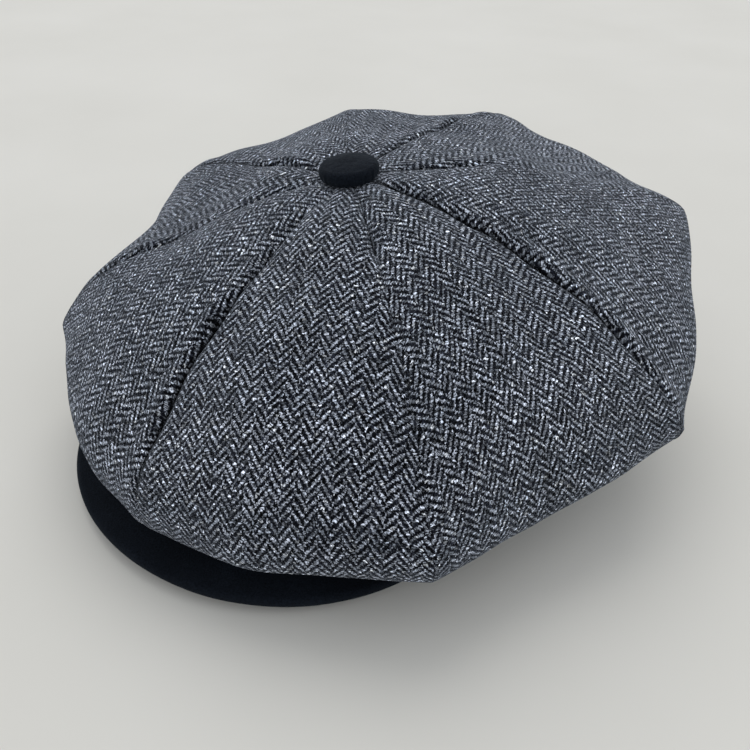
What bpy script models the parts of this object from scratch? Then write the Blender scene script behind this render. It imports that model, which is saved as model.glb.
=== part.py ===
"""Newsboy cap: eight tweed gores over a head band, a stiff visor and a covered button.

Metres, +Z up, the visor towards -Y, standing on Z = 0 with the bounding box centred on the
Z axis. Run it with: blender --background --python part.py
"""

import math

import bmesh
import bpy
import numpy as np
from mathutils import Vector

# ---------------------------------------------------------------- driving dimensions
GAP = 0.0004  # clearance between two pieces that are sewn or pressed together

# Head opening: an oval for a 58 cm head, about the centre of the band
HEAD_HALF_WIDTH = 0.0845
HEAD_HALF_LENGTH = 0.0995
SWEATBAND_THICKNESS = 0.0012
SWEATBAND_HEIGHT = 0.030
STIFFENER_THICKNESS = 0.0008
STIFFENER_HEIGHT = 0.025
BAND_THICKNESS = 0.0018
BAND_HEIGHT = 0.028
FRONT_LIFT = 0.013  # the visor holds the front of the band this far off the table
LIFT_CURVE = 1.4
LIFT_START = 0.025  # forward of the band's centre, where the rim begins to rise

# Crown, about the button's axis
BUTTON_AXIS = (-0.003, -0.009)  # from the band's centre: the crown sits a little to one side
GORES = 8
TWEED_THICKNESS = 0.0018
CROWN_TOP = 0.1055
CROWN_HOLE = 0.007
TOP_TILT = (0.102, 0.063)  # the top leans: its rise per metre towards +X and +Y
RIM_RADIUS = 0.135
RIM_LEAN = (0.017, 0.005)  # the full crown has slumped to +X and to the back
RIM_STRETCH = 0.003  # longer than wide
RIM_SKEW = 0.003
RIM_HEIGHT = 0.060
RIM_BACK_RISE = 0.026
RIM_SIDE_DROOP = 0.006
RIM_TWIST = 0.004
SHOULDER_HEIGHT = 0.081
SHOULDER_BACK_RISE = 0.021
SHOULDER_INSET = 0.008
SHOULDER_BACK_INSET = 0.006
TOP_SWELL = 0.003
TOP_REACH = 0.37  # share of the rim's radius over which the top stays level
# How slack each gore hangs between its seams, from the wearer's left round the back:
# 0 is a round rim, 1 a straight one, and more sags inwards
GORE_SLACK = (0.8, 1.6, 1.6, 1.6, 1.5, 0.8, 1.3, 1.3)
FRONT_FULLNESS = 0.6
# How far each gore's first seam has been dragged round at the rim and bowed sideways above
# it, in degrees, and raised and pushed out
SEAM_TURN = (0.0, -1.0, 0.0, -10.0, -8.0, -2.0, 1.0, 0.0)
SEAM_BOW = (0.0, 0.0, 0.0, 0.0, 3.0, -5.5, -4.5, 0.0)
SEAM_RISE = (-0.008, -0.002, -0.001, 0.004, 0.002, 0.0, -0.010, -0.001)
SEAM_REACH = (0.002, 0.0, 0.0, 0.002, 0.009, 0.002, 0.0, 0.003)
GORE_PUFF = 0.004
FRONT_BULGE = 0.0012  # the front gores swell out over the visor
FRONT_SAG = 0.010
FOLD_DROP = 0.014
FOLD_SHARE = 0.3  # of the height between the rim and the band
FOLD_REACH = 0.016
GORE_COLUMNS = 6
GORE_ROWS = 14
BAND_COLUMNS = GORES * GORE_COLUMNS  # so that the band and the gores meet point to point
TOP_SHARE = 0.6  # share of a gore's rows on top of the rim

# Lining, hanging inside the crown
LINING_THICKNESS = 0.0007
LINING_SLACK = 0.0022
LINING_BUTTON_SLACK = 0.0040
BUTTON_SHARE = 0.2  # share of the lining's length that hangs clear of the button's fixing
LINING_COLUMNS = 4
LINING_ROWS = 12

# Visor
VISOR_LENGTH = 0.0388
VISOR_HALF_ANGLE = math.radians(68)  # where the visor's edge would meet its root
VISOR_ROUNDNESS = 2.4
VISOR_TAPER = 0.9
VISOR_SPAN = 0.95  # share of that angle at which its two ends are cut off
VISOR_ROOT_GAP = 0.0026
VISOR_ROOT_HEIGHT = 0.0045
VISOR_ROOT_RISE = 0.0105
VISOR_EDGE_HEIGHT = 0.0055
VISOR_EDGE_RISE = 0.0010
VISOR_BOARD_THICKNESS = 0.0020
VISOR_COVER_THICKNESS = 0.0010
VISOR_EDGE_TURN = 0.0022
VISOR_COLUMNS = 18
VISOR_ROWS = 4
VISOR_AXIS_SETBACK = 0.042  # the hinge line joins the two ends of the visor

# Covered button
BUTTON_RADIUS = 0.0125
BUTTON_HEIGHT = 0.0068
BUTTON_SIDE = 0.0036  # height of the button's side, below its dome
BUTTON_LIFT = 0.0008  # the button's foot above the crown's top
BUTTON_CLOTH = 0.0010
BUTTON_SHELL = 0.0006
BUTTON_STEPS = 20
STEM_RADIUS = 0.0013
PRONG_LENGTH = 0.009
PRONG_WIDTH = 0.0030
PRONG_THICKNESS = 0.0005
PATCH_RADIUS = 0.011
PATCH_DROP = 0.0018  # below the crown's inner face at its centre
PATCH_THICKNESS = 0.0008


# ---------------------------------------------------------------- small helpers
def unit(vector):
    return vector / np.linalg.norm(vector)


def heading(azimuth):
    """The level unit vector at this azimuth, counted from +X towards +Y."""
    return np.array([math.cos(azimuth), math.sin(azimuth), 0.0])


def sideways(azimuth):
    return np.array([-math.sin(azimuth), math.cos(azimuth), 0.0])


def bezier(points, t):
    a, b, c, d = points
    s = 1.0 - t
    return s**3 * a + 3 * s * s * t * b + 3 * s * t * t * c + t**3 * d


def material(name, colour, roughness, metallic=0.0):
    made = bpy.data.materials.new(name)
    made.use_nodes = True
    shader = made.node_tree.nodes["Principled BSDF"]
    shader.inputs["Base Color"].default_value = (*colour, 1.0)
    shader.inputs["Roughness"].default_value = roughness
    shader.inputs["Metallic"].default_value = metallic
    return made


def add_object(name, bm, finish):
    bmesh.ops.recalc_face_normals(bm, faces=bm.faces[:])
    if bm.calc_volume(signed=True) < 0:
        bmesh.ops.reverse_faces(bm, faces=bm.faces[:])
    mesh = bpy.data.meshes.new(name)
    bm.to_mesh(mesh)
    bm.free()
    mesh.shade_smooth()
    mesh.set_sharp_from_angle(angle=math.radians(50))
    mesh.materials.append(finish)
    made = bpy.data.objects.new(name, mesh)
    bpy.context.scene.collection.objects.link(made)
    return made


def bent_slab(name, columns, rows, place, finish, closed=False):
    """A flat slab of cloth or board, bent into its place.

    place(u, v, w) gives the point of the slab at u along it, v across it and w through its
    thickness, each from 0 to 1. A closed slab is a ring: its two ends are joined.
    """
    bm = bmesh.new()
    bmesh.ops.create_grid(bm, x_segments=columns, y_segments=rows, size=0.5)
    grown = bmesh.ops.extrude_face_region(bm, geom=bm.faces[:])["geom"]
    for vert in grown:
        if isinstance(vert, bmesh.types.BMVert):
            vert.co.z = 1.0
    if closed:
        ends = [f for f in bm.faces if abs(abs(f.calc_center_median().x) - 0.5) < 1e-6]
        bmesh.ops.delete(bm, geom=ends, context="FACES_ONLY")
    for vert in bm.verts:
        vert.co = place(vert.co.x + 0.5, vert.co.y + 0.5, vert.co.z)
    if closed:
        bmesh.ops.remove_doubles(bm, verts=bm.verts[:], dist=1e-6)
    return add_object(name, bm, finish)


def stand_on_top(piece, height):
    """Puts a piece on the button's leaning axis, height above the crown's top."""
    lean = Vector((-TOP_TILT[0], -TOP_TILT[1], 1.0)).normalized()
    piece.location = Vector((*BUTTON_AXIS, CROWN_TOP)) + lean * height
    piece.rotation_euler = Vector((0.0, 0.0, 1.0)).rotation_difference(lean).to_euler()


def turned(name, outline, height, finish):
    """A round piece on the button's axis, height above the crown's top.

    outline lists (radius, height) from the piece's top, down its outer side.
    """
    bm = bmesh.new()
    verts = [bm.verts.new((radius, 0.0, height)) for radius, height in outline]
    for first, second in zip(verts, verts[1:]):
        bm.edges.new((first, second))
    mesh = bpy.data.meshes.new(name)
    bm.to_mesh(mesh)
    bm.free()
    mesh.materials.append(finish)
    made = bpy.data.objects.new(name, mesh)
    stand_on_top(made, height)
    bpy.context.scene.collection.objects.link(made)
    screw = made.modifiers.new("turn", "SCREW")
    screw.axis = "Z"
    screw.steps = BUTTON_STEPS
    screw.render_steps = BUTTON_STEPS
    screw.use_merge_vertices = True
    screw.merge_threshold = 0.00001
    screw.use_smooth_shade = True
    return made


# ---------------------------------------------------------------- the band's oval
def oval(azimuth, outset, height):
    """A point on the head oval, pushed out by outset."""
    x = (HEAD_HALF_WIDTH + outset) * math.cos(azimuth)
    y = (HEAD_HALF_LENGTH + outset) * math.sin(azimuth)
    return np.array([x, y, height])


def frontness(azimuth):
    """0 along the sides and back of the band, 1 at its front centre."""
    forward = -HEAD_HALF_LENGTH * math.sin(azimuth)
    share = (forward - LIFT_START) / (HEAD_HALF_LENGTH - LIFT_START)
    return max(0.0, share) ** LIFT_CURVE


def rim_lift(azimuth):
    return FRONT_LIFT * frontness(azimuth)


STIFFENER_OUTSET = SWEATBAND_THICKNESS + GAP
BAND_OUTSET = STIFFENER_OUTSET + STIFFENER_THICKNESS + GAP
OUTER_OUTSET = BAND_OUTSET + BAND_THICKNESS


def ring(name, outset, thickness, low, high, finish):
    """A strip of cloth standing round the head oval, its rim lifted at the front."""

    def place(u, v, w):
        azimuth = 2 * math.pi * u
        height = low + v * (high - low) + rim_lift(azimuth)
        return oval(azimuth, outset + w * thickness, height)

    return bent_slab(name, BAND_COLUMNS, 1, place, finish, closed=True)


# ---------------------------------------------------------------- the crown's surface
def gore_azimuth(index, u):
    """Azimuth at u across a gore as it was cut, before its seams were dragged round."""
    return (index + u) * 2 * math.pi / GORES


def between_seams(values, index, u):
    """Eases a value kept for each seam from one side of a gore to its other side."""
    share = u * u * (3.0 - 2.0 * u)
    return values[index] + (values[(index + 1) % GORES] - values[index]) * share


def panel_flatness(index, position, front):
    half = math.pi / GORES
    straight = math.cos(half) / math.cos(half * position)
    return 1.0 - GORE_SLACK[index] * (1.0 - FRONT_FULLNESS * front) * (1.0 - straight)


def crown_controls(index, u):
    """Control points of a gore's lengthwise curve: over the top, then under the rim."""
    cut = gore_azimuth(index, u)
    azimuth = cut + math.radians(between_seams(SEAM_TURN, index, u))
    out = heading(azimuth)
    bowed = heading(azimuth + math.radians(between_seams(SEAM_BOW, index, u)))
    back = math.sin(azimuth)
    axis = np.array([*BUTTON_AXIS, 0.0])
    up = np.array([0.0, 0.0, 1.0])
    tilt = np.array([*TOP_TILT, 0.0])
    front = max(0.0, -back) ** 2
    position = 2.0 * u - 1.0
    swell = 1.0 - position**2
    radius = RIM_RADIUS + RIM_LEAN[0] * math.cos(azimuth) + RIM_LEAN[1] * back
    radius += RIM_SKEW * math.sin(2 * azimuth) - RIM_STRETCH * math.cos(2 * azimuth)
    radius += between_seams(SEAM_REACH, index, u)
    bulge = FRONT_BULGE * front * swell * (1.0 + 2.0 * math.cos(azimuth))
    radius = radius * panel_flatness(index, position, front) + bulge
    puff = GORE_PUFF * swell * (1.0 - max(0.0, back))
    rise = between_seams(SEAM_RISE, index, u)
    rim_z = RIM_HEIGHT + RIM_BACK_RISE * back - RIM_SIDE_DROOP * math.cos(2 * azimuth)
    rim_z += RIM_TWIST * math.sin(2 * azimuth) - bulge / 2 + rise
    shoulder_r = radius - SHOULDER_INSET - SHOULDER_BACK_INSET * back
    shoulder_z = SHOULDER_HEIGHT + SHOULDER_BACK_RISE * back + puff + rise
    join = oval(cut, BAND_OUTSET, BAND_HEIGHT + 1.5 * GAP + rim_lift(cut))
    fold = FOLD_DROP + FRONT_SAG * front + FOLD_SHARE * max(0.0, rim_z - join[2])
    hole = heading(cut) * CROWN_HOLE
    reach = bowed * TOP_REACH * radius
    reach_z = CROWN_TOP + TOP_SWELL * back + puff
    top = (
        axis + hole + up * (CROWN_TOP + tilt @ hole),
        axis + reach + up * (reach_z + tilt @ reach),
        axis + bowed * shoulder_r + up * shoulder_z,
        axis + out * radius + up * rim_z,
    )
    under = (
        top[3],
        top[3] - up * fold,
        join + heading(cut) * FOLD_REACH,
        join,
    )
    return top, under


def crown_point(index, u, s):
    """A point of the crown's outer face: s runs from the button to the band."""
    top, under = crown_controls(index, u)
    if s <= TOP_SHARE:
        return bezier(top, s / TOP_SHARE)
    return bezier(under, (s - TOP_SHARE) / (1.0 - TOP_SHARE))


def crown_inward(index, u, s):
    """The unit vector into the crown, square to the gore's lengthwise curve."""
    step = 0.01
    after = crown_point(index, u, min(1.0, s + step))
    before = crown_point(index, u, max(0.0, s - step))
    return unit(np.cross(sideways(gore_azimuth(index, u)), after - before))


def gore(name, index, depth, thickness, columns, rows, finish, button_depth=0.0):
    """One gore of the crown or of its lining, depth inside the crown's outer face."""

    def place(u, v, w):
        inward = crown_inward(index, u, v)
        extra = button_depth * math.exp(-((v / BUTTON_SHARE) ** 2))
        point = crown_point(index, u, v) + inward * (depth + extra + w * thickness)
        return point - sideways(gore_azimuth(index, u)) * (2.0 * u - 1.0) * GAP / 2

    return bent_slab(name, columns, rows, place, finish)


def build_crown(tweed, satin):
    lining_depth = TWEED_THICKNESS + LINING_SLACK
    for index in range(GORES):
        number = index + 1
        gore(f"crown_gore_{number}", index, 0.0, TWEED_THICKNESS, GORE_COLUMNS, GORE_ROWS, tweed)
        gore(
            f"lining_gore_{number}",
            index,
            lining_depth,
            LINING_THICKNESS,
            LINING_COLUMNS,
            LINING_ROWS,
            satin,
            LINING_BUTTON_SLACK,
        )


# ---------------------------------------------------------------- visor
def visor_point(turn, reach, height):
    """A point of the visor: turn from its middle, reach from root (0) to edge (1)."""
    share = abs(turn) / VISOR_HALF_ANGLE
    length = VISOR_LENGTH * max(0.0, 1.0 - share**VISOR_ROUNDNESS) ** VISOR_TAPER
    azimuth = turn - math.pi / 2
    root = oval(azimuth, OUTER_OUTSET + VISOR_ROOT_GAP, 0.0)
    rise = math.cos(share * math.pi / 2) ** 2
    root_z = VISOR_ROOT_HEIGHT + VISOR_ROOT_RISE * rise
    edge_z = VISOR_EDGE_HEIGHT + VISOR_EDGE_RISE * rise
    drop = math.sin(reach * math.pi / 2)
    level = root_z + (edge_z - root_z) * drop
    return root + heading(azimuth) * length * reach + np.array([0.0, 0.0, level + height])


def visor_layer(name, low, high, edge, finish):
    """One layer of the visor, low to high about its middle surface.

    The two covers reach past the board, and edge gives the (low, high) of their outermost
    row, where they close over the board's edge. The board has no such row: edge is None.
    """
    widest = VISOR_HALF_ANGLE * VISOR_SPAN
    rows = VISOR_ROWS if edge else VISOR_ROWS - 1

    def place(u, v, w):
        turn = (2.0 * u - 1.0) * widest
        share = abs(turn) / VISOR_HALF_ANGLE
        length = VISOR_LENGTH * (1.0 - share**VISOR_ROUNDNESS) ** VISOR_TAPER
        board_end = max(0.5, 1.0 - VISOR_EDGE_TURN / length)
        stops = [board_end * row / (VISOR_ROWS - 1) for row in range(VISOR_ROWS)] + [1.0]
        row = round(v * rows)
        reach = stops[row]
        bottom, top = (low, high)
        if edge and row == rows:
            bottom, top = edge
        elif row == VISOR_ROWS - 1:
            reach -= 0.0 if edge else GAP / length
        return visor_point(turn, reach, bottom + w * (top - bottom))

    return bent_slab(name, VISOR_COLUMNS, rows, place, finish)


def build_visor(wool, board):
    half = VISOR_BOARD_THICKNESS / 2
    inner = half + GAP / 2
    outer = inner + VISOR_COVER_THICKNESS
    middle = GAP / 2
    edge = half + VISOR_COVER_THICKNESS / 2
    layers = [
        visor_layer("visor_top_cover", inner, outer, (middle, edge), wool),
        visor_layer("visor_board", -half, half, None, board),
        visor_layer("visor_under_cover", -outer, -inner, (-edge, -middle), wool),
    ]
    hinge = bpy.data.objects.new("visor_hinge", None)
    hinge.location = (0.0, -VISOR_AXIS_SETBACK, VISOR_ROOT_HEIGHT + VISOR_ROOT_RISE / 2)
    bpy.context.scene.collection.objects.link(hinge)
    for layer in layers:
        layer.data.transform(hinge.matrix_basis.inverted())
        layer.parent = hinge


# ---------------------------------------------------------------- button
def dome(radius, height, steps):
    """Heights and radii of a shallow dome, from its top to its widest point."""
    points = []
    for step in range(steps + 1):
        angle = step / steps * math.pi / 2
        points.append((radius * math.sin(angle), height * math.cos(angle) ** 0.8))
    return points


def build_button(wool, steel, cloth):
    rise = BUTTON_SIDE
    inner_r = BUTTON_RADIUS - BUTTON_CLOTH
    cover = [(r, z + rise) for r, z in dome(BUTTON_RADIUS, BUTTON_HEIGHT - rise, 5)]
    cover += [(BUTTON_RADIUS - 0.0006, 0.0006), (BUTTON_RADIUS - 0.0022, 0.0)]
    cover += [(inner_r - 0.0030, 0.0), (inner_r - 0.0030, BUTTON_CLOTH)]
    cover += [(inner_r - 0.0012, BUTTON_CLOTH)]
    hollow = dome(inner_r, BUTTON_HEIGHT - rise - BUTTON_CLOTH, 4)
    cover += [(r, z + rise) for r, z in reversed(hollow)]
    turned("button_cover", cover, BUTTON_LIFT, wool)

    shell_r = inner_r - GAP
    shell_h = BUTTON_HEIGHT - rise - BUTTON_CLOTH - GAP
    shell = [(r, z + rise) for r, z in dome(shell_r, shell_h, 4)]
    shell_in = dome(shell_r - BUTTON_SHELL, shell_h - BUTTON_SHELL, 4)
    shell += [(r, z + rise) for r, z in reversed(shell_in)]
    turned("button_shell", shell, BUTTON_LIFT, steel)

    plate_r = shell_r - BUTTON_SHELL - GAP
    plate_low = BUTTON_CLOTH + GAP
    plate = [(0.0, 0.0022), (plate_r - 0.001, 0.0022), (plate_r - 0.001, plate_low), (0.0, plate_low)]
    turned("button_back", plate, BUTTON_LIFT, steel)
    build_prongs(steel, plate_low)

    patch = [
        (STEM_RADIUS + GAP, 0.0),
        (PATCH_RADIUS, 0.0),
        (PATCH_RADIUS, -PATCH_THICKNESS),
        (STEM_RADIUS + GAP, -PATCH_THICKNESS),
        (STEM_RADIUS + GAP, 0.0),
    ]
    turned("crown_patch", patch, -TWEED_THICKNESS - PATCH_DROP, cloth)


def build_prongs(steel, plate_low):
    """The stem and its two spread prongs, which clamp the button through the crown."""
    bottom = -TWEED_THICKNESS - PATCH_DROP - PATCH_THICKNESS - GAP
    top = BUTTON_LIFT + plate_low - GAP
    bm = bmesh.new()
    bmesh.ops.create_cube(bm, size=1.0)
    for vert in bm.verts:
        vert.co.x *= 2 * PRONG_LENGTH
        vert.co.y *= PRONG_WIDTH
        vert.co.z = bottom + (vert.co.z - 0.5) * PRONG_THICKNESS
    arms = add_object("button_prongs", bm, steel)
    stand_on_top(arms, 0.0)
    bm = bmesh.new()
    depth = top - bottom + PRONG_THICKNESS / 2
    bmesh.ops.create_cone(
        bm, cap_ends=True, segments=12, radius1=STEM_RADIUS, radius2=STEM_RADIUS, depth=depth
    )
    stem = add_object("button_stem_shape", bm, steel)
    stand_on_top(stem, top - depth / 2)
    stem.hide_render = True
    stem.display_type = "WIRE"
    join = arms.modifiers.new("stem", "BOOLEAN")
    join.operation = "UNION"
    join.object = stem


# ---------------------------------------------------------------- the whole cap
def build_bands(tweed, canvas, leather):
    ring("outer_band", BAND_OUTSET, BAND_THICKNESS, 0.0, BAND_HEIGHT, tweed)
    low = 0.0010
    high = low + STIFFENER_HEIGHT
    ring("band_stiffener", STIFFENER_OUTSET, STIFFENER_THICKNESS, low, high, canvas)
    low = 0.0005
    high = low + SWEATBAND_HEIGHT
    ring("sweatband", 0.0, SWEATBAND_THICKNESS, low, high, leather)


def centre_on_origin():
    """Moves the cap so that its bounding box stands on the origin."""
    bpy.context.view_layer.update()
    graph = bpy.context.evaluated_depsgraph_get()
    points = []
    for item in bpy.data.objects:
        if item.type == "MESH" and not item.hide_render:
            shape = item.evaluated_get(graph)
            points += [item.matrix_world @ vert.co for vert in shape.to_mesh().vertices]
            shape.to_mesh_clear()
    points = np.array(points)
    low = points.min(axis=0)
    high = points.max(axis=0)
    shift = ((low[0] + high[0]) / 2, (low[1] + high[1]) / 2, low[2])
    for item in bpy.data.objects:
        if item.parent is None:
            item.location = np.array(item.location) - shift


def main():
    for item in list(bpy.data.objects):
        bpy.data.objects.remove(item)
    tweed = material("tweed", (0.090, 0.096, 0.105), 0.95)
    satin = material("lining_satin", (0.030, 0.032, 0.036), 0.45)
    wool = material("black_wool", (0.010, 0.013, 0.015), 0.9)
    canvas = material("band_canvas", (0.62, 0.60, 0.54), 0.9)
    leather = material("sweatband_leather", (0.040, 0.030, 0.024), 0.55)
    board = material("visor_board", (0.75, 0.74, 0.70), 0.6)
    steel = material("button_steel", (0.55, 0.55, 0.55), 0.35, 1.0)
    build_crown(tweed, satin)
    build_bands(tweed, canvas, leather)
    build_visor(wool, board)
    build_button(wool, steel, canvas)
    centre_on_origin()


main()
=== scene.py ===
"""The looks of the newsboy cap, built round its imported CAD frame."""

import math

import bmesh
import bpy
import numpy as np
from mathutils import Matrix, Vector, noise


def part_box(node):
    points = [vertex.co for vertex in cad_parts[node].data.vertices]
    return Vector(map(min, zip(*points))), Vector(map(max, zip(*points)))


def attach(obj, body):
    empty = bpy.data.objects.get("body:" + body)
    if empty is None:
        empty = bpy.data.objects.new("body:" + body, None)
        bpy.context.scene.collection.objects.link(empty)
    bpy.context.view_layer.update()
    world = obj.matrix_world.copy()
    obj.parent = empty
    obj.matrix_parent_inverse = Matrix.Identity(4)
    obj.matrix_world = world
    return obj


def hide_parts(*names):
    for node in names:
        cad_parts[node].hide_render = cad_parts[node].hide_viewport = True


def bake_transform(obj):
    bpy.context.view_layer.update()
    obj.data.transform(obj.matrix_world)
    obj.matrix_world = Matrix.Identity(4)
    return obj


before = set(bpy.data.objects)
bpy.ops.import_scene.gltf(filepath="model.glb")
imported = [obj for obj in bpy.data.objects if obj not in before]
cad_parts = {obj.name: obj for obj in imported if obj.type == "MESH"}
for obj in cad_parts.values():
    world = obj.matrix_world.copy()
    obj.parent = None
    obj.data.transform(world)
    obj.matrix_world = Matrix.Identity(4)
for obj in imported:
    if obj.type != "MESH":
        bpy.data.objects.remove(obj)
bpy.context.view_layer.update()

# ---------------------------------------------------------------- sizes, as in the CAD source
GAP = 0.0004
BAND_LOW, BAND_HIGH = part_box("outer_band")
BAND_CENTRE = np.array([(BAND_LOW.x + BAND_HIGH.x) / 2, (BAND_LOW.y + BAND_HIGH.y) / 2, 0.0])
BUTTON_AXIS = BAND_CENTRE + [-0.003, -0.009, 0.0]
BAND_THICKNESS = 0.0018
BAND_OUTSET = 0.0028
OUTER_OUTSET = BAND_OUTSET + BAND_THICKNESS
HEAD_HALF_WIDTH = (BAND_HIGH.x - BAND_LOW.x) / 2 - OUTER_OUTSET
HEAD_HALF_LENGTH = (BAND_HIGH.y - BAND_LOW.y) / 2 - OUTER_OUTSET
BAND_HEIGHT = 0.028
FRONT_LIFT = 0.013
LIFT_START = 0.025

GORES = 8
TWEED_THICKNESS = 0.0018
CROWN_TOP = 0.1055
CROWN_HOLE = 0.007
TOP_TILT = np.array([0.102, 0.063, 0.0])
RIM_RADIUS = 0.135
RIM_LEAN = (0.017, 0.005)
RIM_STRETCH = 0.003
RIM_SKEW = 0.003
RIM_HEIGHT = 0.060
RIM_BACK_RISE = 0.026
RIM_SIDE_DROOP = 0.006
RIM_TWIST = 0.004
SHOULDER_HEIGHT = 0.081
SHOULDER_BACK_RISE = 0.021
SHOULDER_INSET = 0.008
SHOULDER_BACK_INSET = 0.006
TOP_SWELL = 0.003
TOP_REACH = 0.37
GORE_SLACK = np.array([0.8, 1.6, 1.6, 1.6, 1.5, 0.8, 1.3, 1.3])
FRONT_FULLNESS = 0.6
SEAM_TURN = np.radians([0.0, -1.0, 0.0, -10.0, -8.0, -2.0, 1.0, 0.0])
SEAM_BOW = np.radians([0.0, 0.0, 0.0, 0.0, 3.0, -5.5, -4.5, 0.0])
SEAM_RISE = np.array([-0.008, -0.002, -0.001, 0.004, 0.002, 0.0, -0.010, -0.001])
SEAM_REACH = np.array([0.002, 0.0, 0.0, 0.002, 0.009, 0.002, 0.0, 0.003])
GORE_PUFF = 0.004
FRONT_BULGE = 0.0012
FRONT_SAG = 0.010
FOLD_DROP = 0.014
FOLD_SHARE = 0.3
FOLD_REACH = 0.016
TOP_SHARE = 0.6
LINING_THICKNESS = 0.0007
LINING_SLACK = 0.0022
LINING_BUTTON_SLACK = 0.0040
BUTTON_SHARE = 0.2

BUTTON_RADIUS = 0.0121
BUTTON_HEIGHT = 0.0068
BUTTON_LIFT = 0.0008

VISOR_LENGTH = 0.0388
VISOR_HALF_ANGLE = math.radians(68)
VISOR_ROUNDNESS = 2.4
VISOR_TAPER = 0.9
VISOR_SPAN = 0.95
VISOR_ROOT_GAP = 0.0026
VISOR_ROOT_HEIGHT = 0.0045
VISOR_ROOT_RISE = 0.0105
VISOR_EDGE_HEIGHT = 0.0055
VISOR_EDGE_RISE = 0.0010
VISOR_BOARD_THICKNESS = 0.0020
VISOR_COVER_THICKNESS = 0.0010
VISOR_EDGE_TURN = 0.0022
VISOR_END_TURN = 0.028  # share of the visor over which its covers close round each end
VISOR_BOARD_SHARE = 0.94

# ---------------------------------------------------------------- sizes of the fine detail
LIP_ANGLES = [math.pi / 4, math.pi / 2, 3 * math.pi / 4]  # the round edge of a sheet
SHARP_ANGLE = math.radians(70)
GORE_COLUMNS = 56
GORE_ROWS = 120
COLUMN_CROWDING = 0.6  # how much closer together a gore's columns are beside its seams
SEAM_DEPTHS = np.array([0.0011, 0.0010, 0.0009, 0.0009, 0.0010, 0.0010, 0.0010, 0.0006])
# Where along its gore each seam sinks in, and where it flattens out again
SEAM_STARTS = np.array([-0.2, -0.2, -0.2, 0.56, -0.2, 0.28, 0.22, -0.2])
SEAM_ENDS = np.array([0.56, 0.17, 0.56, 0.52, 0.60, 0.56, 0.56, 0.56])
SEAM_WIDTH = 0.0013
ROLL_DEPTH = 0.0005  # the wider hollow that the cloth rolls into beside a seam
ROLL_WIDTH = 0.0060
RIDGE_AT = 0.0042
RIDGE_WIDTH = 0.0028
SEAM_WAVES = (1.4, 45.0)  # how uneven a seam's depth is: share and scale
PUCKER_WAVES = (0.0004, 150.0)  # height and scale
PUCKER_REACH = 0.006
SEAM_FAINT = 0.30  # a seam's depth before it sinks in
SEAM_SETTLE = 0.10  # half the way along the gore that a seam takes to sink in
SEAM_SEED = 3.1  # from one seam's unevenness to the next one's
PUCKER_SEED = 7.3
RIM_PRESSING = 0.87  # how much of a seam's depth is lost where it turns over the rim
RIM_TURN = (0.07, 0.06)  # the way that takes, before and after the seam's end
UNDER_REGAIN = 0.62  # how much of it comes back under the rim
UNDER_TURN = (0.64, 0.74)  # where on the gore it comes back
SEAM_JOIN_WIDTHS = (0.008, 0.030)  # gore widths between which its seams take shape
BAND_FADE = 0.93  # where the seams start to fade into the band
# Height of the pressed seam allowance on either side of each gore: its first seam, its second
RIDGES = np.array(
    [
        [0.0011, 0.0002],
        [0.0008, 0.0003],
        [0.0006, 0.0004],
        [0.0003, 0.0008],
        [0.0002, 0.0009],
        [0.0002, 0.0010],
        [0.0003, 0.0003],
        [0.0007, 0.0002],
    ]
)
SLACK_WAVES = ((0.0034, 19.0, 11.0), (0.0014, 48.0, 5.0))  # height, scale and seed of each
SLACK_GROWS = (0.04, 0.22)  # where on the gore the slack waves start, from the button
SLACK_FADES = (0.88, 1.0)
MOUND_HEIGHT = 0.0060  # the cloth gathered up round the button
MOUND_AT = 0.13
MOUND_WIDTH = 0.07
SEAM_SHADE_WIDTH = 0.0009  # how far the shade painted along the bottom of a seam reaches to either side
SEAM_SHADES = np.array([0.95, 0.9, 0.8, 0.85, 0.95, 0.75, 0.95, 0.35])  # how dark the shade painted along each seam is
WARP_SPACING = 0.00070
WEFT_SPACING = 0.00087
STRIPE = 6  # warp threads across one stripe of the herringbone
CLOTH_SHIFT = 0.31  # from one gore's place on the bolt of cloth to the next
LINING_WAVES = ((0.0012, 60.0, 31.0), (0.0006, 150.0, 17.0))
TUCK_HEIGHT = 0.0012
TUCK_WIDTH = 0.0016

BAND_COLUMNS = 288
BAND_ROWS = 14
BAND_WAVES = (0.09, 55.0, 2.0)  # radius that they are read on, scale and seed
BAND_EDGE = 0.0009  # how far the tweed band stops short of its two ends
BAND_WAVE_HEIGHT = 0.0008
SWEATBAND_THICKNESS = 0.0012
SWEATBAND_HEIGHTS = (0.0011, 0.0299)
SWEATBAND_WAVE_HEIGHT = 0.0004

VISOR_COLUMNS = 160
VISOR_FLAT_ROWS = 22
VISOR_ROUND_ROWS = 10
BOARD_ROWS = 12
COVER_PARTING = 0.00008  # half the gap where the two covers meet
FLAT_SHARES = (0.5, 0.45)  # the least of the visor's length that its covers and board keep flat
COVER_WAVES = (0.0005, 60.0, 4.0)
ROOT_CLEARANCE = 0.0002
BOARD_CLEARANCE = 0.0006

BUTTON_CROWN = 0.0011
BUTTON_CORNER = 0.0021
BUTTON_FOOT = 0.0012
BUTTON_TUCK = 0.0045
BUTTON_CLOTH = 0.0009
BUTTON_COLUMNS = 128
BUTTON_ROWS = (17, 10, 8)  # over the top, round the corner and down to the foot
BUTTON_SIDE = (0.42, 0.62)  # where along its cloth the button's side takes over from its top
BUTTON_GATHERS = (0.55, 0.90)  # where along its cloth the folds of its tuck start
BUTTON_WAVES = ((0.00022, 150.0, 9.0), (0.00012, 420.0, 2.0))
BUTTON_FOLDS = ((0.00016, 23, 0.0), (0.00010, 37, 1.0))  # height, count and phase

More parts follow.
